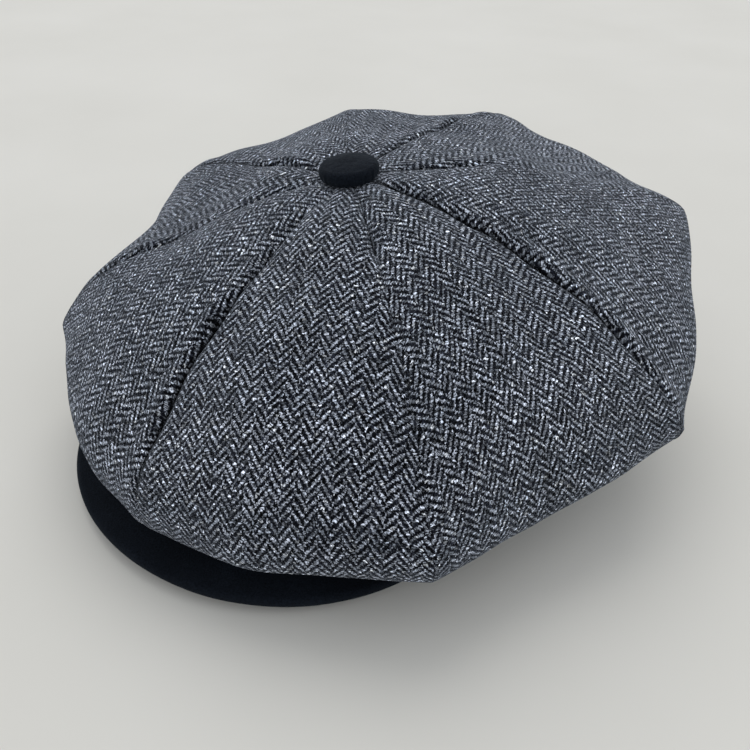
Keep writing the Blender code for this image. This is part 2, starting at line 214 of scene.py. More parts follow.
CAMERA_ANGLES = (31.7, 38.2, 1.9)  # turned left, tipped down and rolled, in degrees
CAMERA_FROM_BUTTON = (0.1609, -0.2364, 0.230)
LIGHT_DIRECTION = (0.45, -0.60, -1.0)
LAMP_ENERGY = 0.95
LAMP_SPREAD = math.radians(50)
DOME_STRENGTH = 0.80


# ---------------------------------------------------------------- small helpers
def heading(azimuth):
    """Level unit vectors at these azimuths, counted from +X towards +Y."""
    return np.stack([np.cos(azimuth), np.sin(azimuth), 0.0 * azimuth], -1)


def unit(vectors):
    return vectors / np.maximum(np.linalg.norm(vectors, axis=-1, keepdims=True), 1e-12)


def ease(low, high, value):
    t = np.clip((value - low) / (high - low), 0.0, 1.0)
    return t * t * (3.0 - 2.0 * t)


def hump(value, width):
    return np.exp(-((value / width) ** 2))


def bezier(points, t):
    a, b, c, d = points
    t = t[..., None]
    s = 1.0 - t
    return s**3 * a + 3 * s * s * t * b + 3 * s * t * t * c + t**3 * d


def arc_lengths(points, axis):
    steps = np.linalg.norm(np.diff(points, axis=axis), axis=-1)
    start = np.zeros_like(np.take(steps, [0], axis=axis))
    return np.concatenate([start, np.cumsum(steps, axis=axis)], axis=axis)


def ripple(points, scale, seed):
    """Smooth noise at each point, about -0.5 to 0.5. Bumps are about 1 / scale metres apart."""
    flat = points.reshape(-1, 3) * scale + seed
    values = [noise.noise(Vector(p)) for p in flat]
    return np.array(values).reshape(points.shape[:-1])


def ripples(points, waves):
    """Several such noises together, each given by its height, scale and seed."""
    return sum(height * ripple(points, scale, seed) for height, scale, seed in waves)


def normals_of(points):
    """Unit normals of a grid of points."""
    return unit(np.cross(np.gradient(points, axis=0), np.gradient(points, axis=1)))


# ---------------------------------------------------------------- sheets as meshes
def sheet_mesh(name, outer, inner, cloth, finish, closed=False, crease=None):
    """A sheet with round edges between two grids of points, each (columns, rows, 3).

    cloth is each point's place on the flat cloth, in metres. A closed sheet is a ring whose
    last column repeats its first. The last argument is how much shade is painted by a seam: most
    on it.
    """
    columns, rows = outer.shape[:2]
    middle = (outer + inner) / 2
    half = (outer - inner) / 2
    thick = np.linalg.norm(half, axis=-1, keepdims=True)

    def lip(edge, before, angles):
        away = unit(middle[:, edge] - middle[:, before])
        round_edge = [
            middle[:, edge] + half[:, edge] * math.cos(a) + away * thick[:, edge] * math.sin(a)
            for a in angles
        ]
        return np.stack(round_edge, axis=1)

    turns = len(LIP_ANGLES)
    far_lip = lip(-1, -2, LIP_ANGLES)
    near_lip = lip(0, 1, LIP_ANGLES[::-1])
    loop = np.concatenate([outer, far_lip, inner[:, ::-1], near_lip], axis=1)

    def wrapped(values):
        """Values of the grid's points, repeated round the sheet's edges and its back."""
        ends = [np.repeat(values[:, edge], turns, axis=1) for edge in ([-1], [0])]
        return np.concatenate([values, ends[0], values[:, ::-1], ends[1]], axis=1)

    around = loop.shape[1]
    index = np.arange(columns * around).reshape(columns, around)
    after = np.roll(index, -1, axis=1)
    quads = np.stack([index[:-1], index[1:], after[1:], after[:-1]], -1).reshape(-1, 4)
    faces = [tuple(int(i) for i in quad) for quad in quads]
    if not closed:
        last = rows - 1
        outer_at = list(range(rows))
        inner_at = [rows + turns + last - i for i in range(rows)]
        for column, flip in ((0, False), (columns - 1, True)):
            walls = []
            for i in range(last):
                walls.append([outer_at[i], outer_at[i + 1], inner_at[i + 1], inner_at[i]])
            walls.append([outer_at[-1], *range(rows, rows + turns), inner_at[-1]])
            walls.append([inner_at[0], *range(around - turns, around), outer_at[0]])
            for wall in walls:
                corners = [int(index[column, i]) for i in wall]
                faces.append(tuple(corners[::-1] if flip else corners))
    mesh = bpy.data.meshes.new(name)
    mesh.from_pydata(loop.reshape(-1, 3).tolist(), [], faces)
    corners = np.zeros(len(mesh.loops), np.int32)
    mesh.loops.foreach_get("vertex_index", corners)
    layers = [("cloth", wrapped(cloth))]
    # The shade painted along the seams goes in a second UV layer.
    if crease is not None:
        layers.append(("crease", wrapped(np.stack([crease, 0.0 * crease], -1))))
    for layer_name, places in layers:
        layer = mesh.uv_layers.new(name=layer_name)
        flat = places.reshape(-1, 2)
        layer.data.foreach_set("uv", flat[corners].astype(np.float32).ravel())
    bm = bmesh.new()
    bm.from_mesh(mesh)
    if closed:
        bmesh.ops.remove_doubles(bm, verts=bm.verts[:], dist=1e-6)
    if bm.calc_volume(signed=True) < 0:
        bmesh.ops.reverse_faces(bm, faces=bm.faces[:])
    bm.to_mesh(mesh)
    bm.free()
    mesh.shade_smooth()
    mesh.set_sharp_from_angle(angle=SHARP_ANGLE)
    mesh.materials.append(finish)
    made = bpy.data.objects.new(name, mesh)
    bpy.context.scene.collection.objects.link(made)
    return made


# ---------------------------------------------------------------- the crown's shape
def oval(azimuth, outset, height):
    """Points on the head oval, pushed out by outset."""
    x = (HEAD_HALF_WIDTH + outset) * np.cos(azimuth)
    y = (HEAD_HALF_LENGTH + outset) * np.sin(azimuth)
    return np.stack([x, y, height + 0.0 * azimuth], -1) + BAND_CENTRE


def rim_lift(azimuth):
    """How far the head band is arched up off the table, at its front."""
    forward = -HEAD_HALF_LENGTH * np.sin(azimuth)
    share = np.maximum(0.0, (forward - LIFT_START) / (HEAD_HALF_LENGTH - LIFT_START))
    return FRONT_LIFT * share**1.4


def crown_surface(index, u, s):
    """The crown's outer face on one gore, u across it and s from the button to the band."""
    u, s = np.meshgrid(u, s, indexing="ij")
    share = ease(0.0, 1.0, u)
    turn, bow, rise, reach = (
        values[index] + (values[(index + 1) % GORES] - values[index]) * share
        for values in (SEAM_TURN, SEAM_BOW, SEAM_RISE, SEAM_REACH)
    )
    cut = (index + u) * 2 * math.pi / GORES
    azimuth = cut + turn
    out, bowed, level = heading(azimuth), heading(azimuth + bow), heading(cut)
    up = np.array([0.0, 0.0, 1.0])
    back = np.sin(azimuth)
    front = np.maximum(0.0, -back) ** 2
    position = 2.0 * u - 1.0
    swell = 1.0 - position**2
    half = math.pi / GORES
    straight = math.cos(half) / np.cos(half * position)
    flatness = 1.0 - GORE_SLACK[index] * (1.0 - FRONT_FULLNESS * front) * (1.0 - straight)
    radius = RIM_RADIUS + RIM_LEAN[0] * np.cos(azimuth) + RIM_LEAN[1] * back
    radius += RIM_SKEW * np.sin(2 * azimuth) - RIM_STRETCH * np.cos(2 * azimuth) + reach
    bulge = FRONT_BULGE * front * swell * (1.0 + 2.0 * np.cos(azimuth))
    radius = radius * flatness + bulge
    puff = GORE_PUFF * swell * (1.0 - np.maximum(0.0, back))
    rim_z = RIM_HEIGHT + RIM_BACK_RISE * back - RIM_SIDE_DROOP * np.cos(2 * azimuth)
    rim_z += RIM_TWIST * np.sin(2 * azimuth) - bulge / 2 + rise
    shoulder_r = radius - SHOULDER_INSET - SHOULDER_BACK_INSET * back
    shoulder_z = SHOULDER_HEIGHT + SHOULDER_BACK_RISE * back + puff + rise
    top_z = CROWN_TOP + TOP_SWELL * back + puff
    join = oval(cut, BAND_OUTSET, BAND_HEIGHT + 1.5 * GAP + rim_lift(cut))
    fold = FOLD_DROP + FRONT_SAG * front + FOLD_SHARE * np.maximum(0.0, rim_z - join[..., 2])
    rim = BUTTON_AXIS + out * radius[..., None] + up * rim_z[..., None]
    hole = level * CROWN_HOLE
    level_part = bowed * (TOP_REACH * radius)[..., None]
    top = (
        BUTTON_AXIS + hole + up * (CROWN_TOP + hole @ TOP_TILT)[..., None],
        BUTTON_AXIS + level_part + up * (top_z + level_part @ TOP_TILT)[..., None],
        BUTTON_AXIS + bowed * shoulder_r[..., None] + up * shoulder_z[..., None],
        rim,
    )
    under = (rim, rim - up * fold[..., None], join + level * FOLD_REACH, join)
    above = bezier(top, np.clip(s / TOP_SHARE, 0.0, 1.0))
    below = bezier(under, np.clip((s - TOP_SHARE) / (1.0 - TOP_SHARE), 0.0, 1.0))
    return np.where((s <= TOP_SHARE)[..., None], above, below)


def gore_columns(count):
    """Columns across a gore, closer together beside its seams."""
    t = np.linspace(0.0, 1.0, count + 1)
    return t - COLUMN_CROWDING * np.sin(2 * math.pi * t) / (2 * math.pi)


def gore_cloth(points):
    """Where each point of a gore lies on its flat cloth, and how far it is from the middle.

    The grain runs down the gore's middle.
    """
    middle = points.shape[0] // 2
    across = arc_lengths(points, 0)
    across = across - across[middle]
    line = points[middle]
    along = arc_lengths(line, 0)
    tangent = unit(np.gradient(line, axis=0))
    level = (line - BUTTON_AXIS) * np.array([1.0, 1.0, 0.0])
    reach = np.linalg.norm(level, axis=-1)
    bend = (tangent * unit(level)).sum(-1) / np.maximum(reach, 1e-4)
    bend = np.where(np.abs(bend) < 1e-3, 1e-3, bend)
    x = np.sin(bend * across) / bend
    y = along - (1.0 - np.cos(bend * across)) / bend
    return np.stack([x, y], -1), across


def pressed(seam, s):
    """How deep a seam is along its gore: nearly flat where it turns over the rim."""
    start, end = SEAM_STARTS[seam], SEAM_ENDS[seam]
    sunk = (1.0 - SEAM_FAINT) * ease(start - SEAM_SETTLE, start + SEAM_SETTLE, s) + SEAM_FAINT
    over = RIM_PRESSING * ease(end - RIM_TURN[0], end + RIM_TURN[1], s)
    under = UNDER_REGAIN * ease(*UNDER_TURN, s)
    return sunk - over + under


def seam_relief(distance, depth, ridge, along, seed):
    """Height of the cloth beside a seam: drawn down into it, the allowance raised beside it."""
    line = np.stack([along, 0.0 * along + seed, 0.0 * along], -1)
    uneven = 1.0 + SEAM_WAVES[0] * ripple(line, SEAM_WAVES[1], seed)
    groove = -depth * uneven * hump(distance, SEAM_WIDTH)
    groove = groove - ROLL_DEPTH * depth / SEAM_DEPTHS.max() * hump(distance, ROLL_WIDTH)
    raised = ridge * uneven * hump(distance - RIDGE_AT, RIDGE_WIDTH)
    pucker = PUCKER_WAVES[0] * ripple(line, PUCKER_WAVES[1], seed + PUCKER_SEED)
    return groove + raised + pucker * np.exp(-distance / PUCKER_REACH)


def crown_relief(index, points, across, s):
    """How far the cloth stands from its smooth shape: by its slack, and by its seams."""
    along = arc_lengths(points, 1)
    width = across[-1:] - across[:1]
    sides = []
    for side, distance in ((0, across - across[:1]), (1, across[-1:] - across)):
        seam = (index + side) % GORES
        depth, ridge = SEAM_DEPTHS[seam], RIDGES[index, side]
        relief = seam_relief(distance, depth, ridge, along, SEAM_SEED * seam)
        sides.append(relief * pressed(seam, s))
    strength = ease(*SEAM_JOIN_WIDTHS, width) * (1.0 - ease(BAND_FADE, 1.0, s))
    slack = ripples(points, SLACK_WAVES) * ease(*SLACK_GROWS, s) * (1.0 - ease(*SLACK_FADES, s))
    place = (across - across[:1]) / np.maximum(width, 1e-6)
    mound = MOUND_HEIGHT * place * (1.0 - place) * hump(s - MOUND_AT, MOUND_WIDTH)
    return slack + mound, (sides[0] + sides[1]) * strength


def build_crown(tweed, satin):
    """The eight tweed gores, and under each its slack satin lining."""
    u = gore_columns(GORE_COLUMNS)
    s = np.linspace(0.0, 1.0, GORE_ROWS + 1)
    for index in range(GORES):
        number = index + 1
        base = crown_surface(index, u, s)
        out = -normals_of(base)
        if (out * (base - BUTTON_AXIS - [0.0, 0.0, 0.05])).sum() < 0:
            out = -out
        cloth, across = gore_cloth(base)
        slack, seams = crown_relief(index, base, across, s[None, :])
        outer = base + out * (slack + seams)[..., None]
        inner = outer - out * TWEED_THICKNESS
        from_first, from_second = across - across[:1], across[-1:] - across
        from_seam = np.minimum(from_first, from_second)
        nearest = np.where(across < 0.0, index, (index + 1) % GORES)
        # Painted shade: how much the tweed's colour is darkened along the bottom of each seam.
        crease = hump(from_seam, SEAM_SHADE_WIDTH) * SEAM_SHADES[nearest]
        crease = crease * pressed(nearest, s[None, :])
        place = cloth + [index * CLOTH_SHIFT, 0.0]
        name = f"tweed_gore_{number}"
        gore = sheet_mesh(name, outer, inner, place, tweed, crease=crease)
        ride_cap(gore, "tweed", f"crown_gore_{number}")

        wrinkle = ripples(base, LINING_WAVES)
        tuck = TUCK_HEIGHT * (hump(from_first, TUCK_WIDTH) + hump(from_second, TUCK_WIDTH))
        clear = LINING_SLACK + LINING_BUTTON_SLACK * hump(s[None, :], BUTTON_SHARE)
        depth = TWEED_THICKNESS + clear + tuck - slack - wrinkle
        face = base - out * depth[..., None]
        lining = sheet_mesh(
            f"satin_lining_{number}",
            face[::2, ::2],
            (face - out * LINING_THICKNESS)[::2, ::2],
            cloth[::2, ::2],
            satin,
        )
        ride_cap(lining, "lining_satin", f"lining_gore_{number}")


def ride_cap(piece, slot, *nodes):
    """A piece that moves with the cap and stands for these nodes. slot is not used."""
    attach(piece, "cap")
    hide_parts(*nodes)


# ---------------------------------------------------------------- bands round the head
def build_band(name, node, finish, slot, outset, thickness, low, high, wave):
    """A band round the head oval: outset from it, low to high, with slight waves."""
    azimuth = np.linspace(0.0, 2 * math.pi, BAND_COLUMNS + 1)
    height = np.linspace(low, high, BAND_ROWS + 1)
    grid_a, grid_h = np.meshgrid(azimuth, height, indexing="ij")
    face = oval(grid_a, outset, grid_h + rim_lift(grid_a))
    out = unit(oval(grid_a, outset + 0.01, 0.0) - oval(grid_a, outset, 0.0))
    middle = np.sin(math.pi * (grid_h - low) / (high - low))
    radius, scale, seed = BAND_WAVES
    ring = np.stack([np.cos(grid_a) * radius, np.sin(grid_a) * radius, grid_h], -1)
    bulge = wave * ripple(ring, scale, seed) * middle
    inner = face + out * bulge[..., None]
    outer = inner + out * thickness
    length = arc_lengths(face, 0)
    cloth = np.stack([length, grid_h], -1)
    piece = sheet_mesh(name, outer, inner, cloth, finish, closed=True)
    ride_cap(piece, slot, node)


# ---------------------------------------------------------------- visor
def visor_length(turn):
    """The visor's length from root to edge, turn from its middle."""
    share = np.abs(turn) / VISOR_HALF_ANGLE
    return VISOR_LENGTH * np.maximum(0.0, 1.0 - share**VISOR_ROUNDNESS) ** VISOR_TAPER


def visor_surface(turn, reach, height):
    """Points of the visor: turn from its middle, reach from root (0) to edge (1)."""
    share = np.abs(turn) / VISOR_HALF_ANGLE
    azimuth = turn - math.pi / 2
    root = oval(azimuth, OUTER_OUTSET + VISOR_ROOT_GAP, 0.0)
    rise = np.cos(share * math.pi / 2) ** 2
    root_z = VISOR_ROOT_HEIGHT + VISOR_ROOT_RISE * rise
    edge_z = VISOR_EDGE_HEIGHT + VISOR_EDGE_RISE * rise
    level = root_z + (edge_z - root_z) * np.sin(reach * math.pi / 2)
    up = np.array([0.0, 0.0, 1.0])
    forward = heading(azimuth) * (visor_length(turn) * reach)[..., None]
    return root + forward + up * (level + height)[..., None]


def build_visor(wool, board):
    """The visor's two wool covers, which meet round its edge and its ends, and its board."""
    half = VISOR_BOARD_THICKNESS / 2
    inner_h = half + GAP / 4
    outer_h = half + VISOR_COVER_THICKNESS
    spread = np.sin(np.linspace(-1.0, 1.0, VISOR_COLUMNS + 1) * math.pi / 2)
    turn = spread * VISOR_HALF_ANGLE * VISOR_SPAN
    flat_part = np.linspace(-1.0, 0.0, VISOR_FLAT_ROWS + 1)
    round_part = np.sin(np.linspace(0.0, 1.0, VISOR_ROUND_ROWS + 1)[1:] * math.pi / 2)
    steps = np.concatenate([flat_part, round_part])
    grid_t, grid_k = np.meshgrid(turn, steps, indexing="ij")
    length = visor_length(grid_t)
    edge = np.maximum(FLAT_SHARES[0], 1.0 - VISOR_EDGE_TURN / length)
    root = -(VISOR_ROOT_GAP - ROOT_CLEARANCE) / length
    reach = np.where(grid_k < 0.0, edge + (edge - root) * grid_k, edge + (1.0 - edge) * grid_k)
    roll = np.sqrt(np.maximum(0.0, 1.0 - np.maximum(0.0, grid_k) ** 2))
    from_end = 1.0 - np.abs(grid_t) / (VISOR_HALF_ANGLE * VISOR_SPAN)
    closing = np.clip(1.0 - from_end / VISOR_END_TURN, 0.0, 1.0)
    roll = roll * np.sqrt(1.0 - closing**2)
    inner_t = grid_t - np.sign(grid_t) * closing * VISOR_COVER_THICKNESS / HEAD_HALF_LENGTH
    across = grid_t * HEAD_HALF_LENGTH
    cloth = np.stack([across, reach * length], -1)
    smooth = visor_surface(grid_t, reach, 0.0 * reach)
    inside = edge + (1.0 - VISOR_COVER_THICKNESS / length - edge) * np.maximum(0.0, grid_k)
    inner_reach = np.where(grid_k < 0.0, reach, inside) * length / visor_length(inner_t)
    wave_height, wave_scale, wave_seed = COVER_WAVES
    pieces = []
    for name, node, side in (
        ("visor_top_wool", "visor_top_cover", 1.0),
        ("visor_under_wool", "visor_under_cover", -1.0),
    ):
        uneven = wave_height * ripple(smooth, wave_scale, wave_seed + side) * roll
        outer_height = side * (outer_h * roll + COVER_PARTING + uneven)
        inner_height = side * (inner_h * roll + COVER_PARTING)
        outer = visor_surface(grid_t, reach, outer_height)
        inner = visor_surface(inner_t, inner_reach, inner_height)
        piece = sheet_mesh(name, outer, inner, cloth, wool)
        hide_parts(node)
        pieces.append(piece)
    board_rows = np.linspace(0.0, 1.0, BOARD_ROWS + 1)
    board_t, board_r = np.meshgrid(turn * VISOR_BOARD_SHARE, board_rows, indexing="ij")
    board_length = visor_length(board_t)
    setback = VISOR_EDGE_TURN + BOARD_CLEARANCE
    limit = np.maximum(FLAT_SHARES[1], 1.0 - setback / board_length)
    board_r = board_r * limit
    board_half = half - ROOT_CLEARANCE
    upper = visor_surface(board_t, board_r, 0.0 * board_r + board_half)
    lower = visor_surface(board_t, board_r, 0.0 * board_r - board_half)
    flat = np.stack([board_t * HEAD_HALF_LENGTH, board_r * board_length], -1)
    stiff = sheet_mesh("visor_inner_board", upper, lower, flat, board)
    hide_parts("visor_board")
    pieces.append(stiff)
    for piece in pieces:
        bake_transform(piece)


# ---------------------------------------------------------------- button
def button_outline():
    """Radii and heights of the button's cloth, from its middle round to under its rim."""
    flat = BUTTON_RADIUS - BUTTON_CORNER
    shoulder = BUTTON_HEIGHT - BUTTON_CROWN - BUTTON_CORNER
    top_rows, corner_rows, foot_rows = BUTTON_ROWS
    points = []
    for step in range(top_rows):
        share = step / top_rows
        points.append((flat * share, BUTTON_HEIGHT - BUTTON_CROWN * share**2.2))
    for step in range(corner_rows + 1):
        angle = step / corner_rows * math.pi / 2
        out, up = BUTTON_CORNER * math.sin(angle), BUTTON_CORNER * math.cos(angle)
        points.append((flat + out, shoulder + up))
    for step in range(1, foot_rows + 1):
        angle = step / foot_rows * math.pi / 2
        drawn_in = 1.2 * BUTTON_FOOT * (1.0 - math.cos(angle))
        level = shoulder * 0.5 * (1.0 - step / foot_rows) + BUTTON_FOOT * (1.0 - math.sin(angle))
        points.append((BUTTON_RADIUS - drawn_in, max(0.0, level - 0.0002)))
    points.append((BUTTON_RADIUS - BUTTON_TUCK, 0.0))
    return np.array(points)


def build_button(wool):
    """The wool-covered button, drawn in round its rim, leaning with the crown's top."""
    outline = button_outline()
    turns = np.linspace(0.0, 2 * math.pi, BUTTON_COLUMNS + 1)
    turns[-1] = 0.0
    grid_a, grid_i = np.meshgrid(turns, np.arange(len(outline)), indexing="ij")
    share = grid_i / (len(outline) - 1.0)
    r = np.maximum(outline[grid_i, 0], 1e-5)
    z = outline[grid_i, 1]
    ring = np.stack([r * np.cos(grid_a), r * np.sin(grid_a), z], -1)
    lumps = ripples(ring, BUTTON_WAVES)
    folds = sum(high * np.cos(count * grid_a + phase) for high, count, phase in BUTTON_FOLDS)
    low_part = ease(*BUTTON_GATHERS, share)
    side = ease(*BUTTON_SIDE, share)
    r = r + (folds * low_part + lumps * side) * ease(0.0, 0.003, r)
    z = z + lumps * (1.0 - side)
    edges = np.gradient(np.stack([r, z], -1), axis=1)
    inward = unit(np.stack([edges[..., 1], -edges[..., 0]], -1))
    inner_r = np.maximum(r + BUTTON_CLOTH * inward[..., 0], 0.5e-5)
    inner_z = z + BUTTON_CLOTH * inward[..., 1]
    lean = Vector((-TOP_TILT[0], -TOP_TILT[1], 1.0)).normalized()
    turn = np.array(Vector((0.0, 0.0, 1.0)).rotation_difference(lean).to_matrix())
    seat = BUTTON_AXIS + [0.0, 0.0, CROWN_TOP] + np.array(lean) * BUTTON_LIFT

    def placed(radius, height):
        local = np.stack([radius * np.cos(grid_a), radius * np.sin(grid_a), height], -1)
        return local @ turn.T + seat

    outer = placed(r, z)
    inner = placed(inner_r, inner_z)
    travel = arc_lengths(outer, 1)
    cloth = np.stack([travel * np.cos(grid_a), travel * np.sin(grid_a)], -1)
    button = sheet_mesh("button_wool", outer, inner, cloth, wool, closed=True)
    ride_cap(button, "black_wool", "button_cover")


# ---------------------------------------------------------------- materials
class Shader:
    """A material under construction. A value is a number, a colour or another node's output."""

    def __init__(self, name, **constants):
        self.material = bpy.data.materials.new(name)
        self.material.use_nodes = True
        self.nodes = self.material.node_tree.nodes
        self.links = self.material.node_tree.links
        self.shader = self.nodes["Principled BSDF"]
        for socket, value in constants.items():
            self.put(self.shader.inputs[socket.replace("_", " ")], value)

    def put(self, socket, value):
        if isinstance(value, bpy.types.NodeSocket):
            self.links.new(value, socket)
        elif isinstance(value, tuple) and len(value) == 3 and socket.type == "RGBA":
            socket.default_value = (*value, 1.0)
        else:
            socket.default_value = value

    def node(self, kind, inputs=(), **settings):
        made = self.nodes.new("ShaderNode" + kind)
        for key, value in settings.items():
            setattr(made, key, value)
        for key, value in dict(inputs).items():
            self.put(made.inputs[key], value)
        return made

    def math(self, operation, *values):
        return self.node("Math", dict(enumerate(values)), operation=operation).outputs[0]

    def cloth(self, drift=0.0, waver=0.0):
        """The cloth's two flat coordinates, in metres.

        drift is how far the threads stray over centimetres, waver how far over a thread.
        """
        place = self.node("UVMap", uv_map="cloth").outputs["UV"]
        split = self.node("SeparateXYZ", {"Vector": place})
        moved = [split.outputs["X"], split.outputs["Y"]]
        for scale, amount in ((70.0, drift), (950.0, waver)):
            if not amount:
                continue
            stray = self.node("TexNoise", {"Vector": place, "Scale": scale, "Detail": 3.0})
            parts = self.node("SeparateColor", {"Color": stray.outputs["Color"]})
            for axis, part in enumerate(("Red", "Green")):
                shift = self.math("MULTIPLY_ADD", parts.outputs[part], 2 * amount, -amount)
                moved[axis] = self.math("ADD", moved[axis], shift)
        return moved

    def crease(self):
        """Shade painted along a seam: strongest at its bottom, 0 away from it."""
        place = self.node("UVMap", uv_map="crease").outputs["UV"]
        return self.node("SeparateXYZ", {"Vector": place}).outputs["X"]

    def noise(self, scale, detail=2.0, vector=None, roughness=0.5):
        if vector is None:
            vector = self.node("TexCoord").outputs["Object"]
        made = self.node(
            "TexNoise",
            {"Vector": vector, "Scale": scale, "Detail": detail, "Roughness": roughness},
        )
        return made.outputs["Fac"]

    def ramp(self, value, low, high, to_low=0.0, to_high=1.0):
        made = self.node(
            "MapRange",
            {
                "Value": value,
                "From Min": low,
                "From Max": high,
                "To Min": to_low,
                "To Max": to_high,
            },
        )
        return made.outputs["Result"]

    def mix(self, share, first, second):
        made = self.node("Mix", data_type="RGBA")
        self.put(made.inputs[0], share)
        self.put(made.inputs[6], first)
        self.put(made.inputs[7], second)
        return made.outputs[2]

    def bump(self, height, distance, strength=1.0, after=None):
        made = self.node("Bump", {"Height": height, "Distance": distance, "Strength": strength})
        if after is not None:
            self.put(made.inputs["Normal"], after)
        return made.outputs["Normal"]

    def finish(self, colour=None, roughness=None, normal=None):
        for socket, value in (
            ("Base Color", colour),
            ("Roughness", roughness),
            ("Normal", normal),
        ):
            if value is not None:
                self.put(self.shader.inputs[socket], value)
        return self.material


def random_of(m, *coordinates):
    """A steady random number for each whole-number cell."""
    place = m.node("CombineXYZ", dict(enumerate(coordinates))).outputs[0]
    return m.node("TexWhiteNoise", {"Vector": place}, noise_dimensions="3D").outputs["Value"]


def product(m, *values):
    result = values[0]
    for value in values[1:]:
        result = m.math("MULTIPLY", result, value)
    return result


def tinted(m, colour, share):
    """A colour made lighter or darker by a number for each point."""
    grey = m.node("CombineColor", {0: share, 1: share, 2: share}).outputs[0]
    made = m.node("Mix", data_type="RGBA", blend_type="MULTIPLY")
    for socket, value in ((0, 1.0), (6, colour), (7, grey)):
        m.put(made.inputs[socket], value)
    return made.outputs[2]


def arch(m, place, depth):
    """1 in the middle of a thread or float and 1 - depth at its edges; place runs 0 to 1."""
    centred = m.math("SUBTRACT", place, 0.5)
    return m.math("MULTIPLY_ADD", m.math("MULTIPLY", centred, centred), -4.0 * depth, 1.0)


def tweed_material():
    """Wool herringbone: dark warp, pale weft, turning every stripe, with flecks, hairs and
    painted shade.
    """
    m = Shader("tweed", Roughness=0.9, Sheen_Weight=0.32, Sheen_Roughness=0.12)
    m.put(m.shader.inputs["Sheen Tint"], (0.78, 0.87, 1.0))
    m.put(m.shader.inputs["Specular IOR Level"], 0.05)
    x, y = m.cloth(drift=0.0007, waver=0.0011)
    across = m.math("DIVIDE", x, WARP_SPACING)
    along = m.math("DIVIDE", y, WEFT_SPACING)
    end, pick = m.math("FLOOR", across), m.math("FLOOR", along)
    on_end, on_pick = m.math("FRACT", across), m.math("FRACT", along)
    stripe = m.math("FLOOR", m.math("DIVIDE", end, STRIPE))
    odd = m.math("FLOORED_MODULO", stripe, 2.0)
    within = m.math("FLOORED_MODULO", end, STRIPE)
    sense = m.math("MULTIPLY_ADD", odd, -2.0, 1.0)
    offset = m.math("MULTIPLY", odd, STRIPE + 1.0)
    slanted = m.math("ADD", m.math("MULTIPLY_ADD", within, sense, pick), offset)
    step = m.math("FLOORED_MODULO", slanted, 4.0)
    warp_up = m.math("LESS_THAN", step, 1.5)
    weft_up = m.math("SUBTRACT", 1.0, warp_up)
    warp_place = m.math("DIVIDE", m.math("ADD", step, on_pick), 2.0)
    turned_step = m.math("MULTIPLY_ADD", m.math("SUBTRACT", step, 2.5), sense, 0.5)
    weft_place = m.math("DIVIDE", m.math("ADD", turned_step, on_end), 2.0)
    warp = product(m, warp_up, arch(m, on_end, 0.75), arch(m, warp_place, 0.45))
    weft = product(m, weft_up, arch(m, on_pick, 0.75), arch(m, weft_place, 0.45))
    thread = m.math("ADD", warp, weft)

    flat = m.node("CombineXYZ", {0: x, 1: y}).outputs[0]
    fibres = m.noise(1600.0, 3.0, flat, 0.8)
    mottled = m.noise(900.0, 3.0, flat, 0.75)
    clouds = m.noise(38.0, 3.0, flat)
    first_end = m.math("SUBTRACT", end, m.math("MULTIPLY", turned_step, weft_up))
    first_pick = m.math("SUBTRACT", pick, m.math("MULTIPLY", step, warp_up))
    float_one = random_of(m, first_end, first_pick)
    float_two = random_of(m, first_pick, first_end)
    dark = m.mix(random_of(m, end, 3.0), (0.0035, 0.0040, 0.0070), (0.013, 0.015, 0.023))
    pale = m.mix(random_of(m, pick, 8.0), (0.24, 0.27, 0.32), (0.42, 0.45, 0.52))
    pale = m.mix(m.ramp(float_one, 0.90, 1.0), pale, (0.57, 0.595, 0.63))
    dark = m.mix(m.ramp(fibres, 0.57, 0.75, 0.0, 0.22), dark, (0.20, 0.22, 0.25))
    yarn = m.mix(warp_up, pale, dark)
    # Painted shade: the colour is darkened along the bottom of each seam, where shade falls.
    seam = product(m, m.crease(), m.ramp(mottled, 0.36, 0.6, 0.75, 1.25))
    # The yarn's random tone, times painted shade: each thread and float darker towards its
    # edges, and each seam darker along its bottom.
    tone_and_painted_shade = product(
        m,
        # painted shade: each thread and float darkens from its middle to its edges
        m.ramp(thread, 0.15, 0.95, 0.12, 1.20),
        m.ramp(float_two, 0.0, 1.0, 0.40, 1.60),
        m.ramp(fibres, 0.38, 0.62, 0.0, 2.0),
        m.ramp(mottled, 0.38, 0.62, 0.05, 1.95),
        m.ramp(clouds, 0.3, 0.7, 0.90, 1.10),
        # painted seam shade
        m.ramp(seam, 0.0, 0.9, 1.0, 0.12),
    )
    colour = tinted(m, yarn, tone_and_painted_shade)
    hairs = m.noise(1300.0, 4.0, flat, 0.75)
    colour = m.mix(m.ramp(hairs, 0.60, 0.74, 0.0, 0.12), colour, (0.22, 0.24, 0.27))
    height = m.math("ADD", thread, m.math("MULTIPLY", fibres, 0.5))
    normal = m.bump(height, 0.00045, 0.9)
    return m.finish(colour, m.ramp(fibres, 0.3, 0.7, 0.82, 0.98), normal)


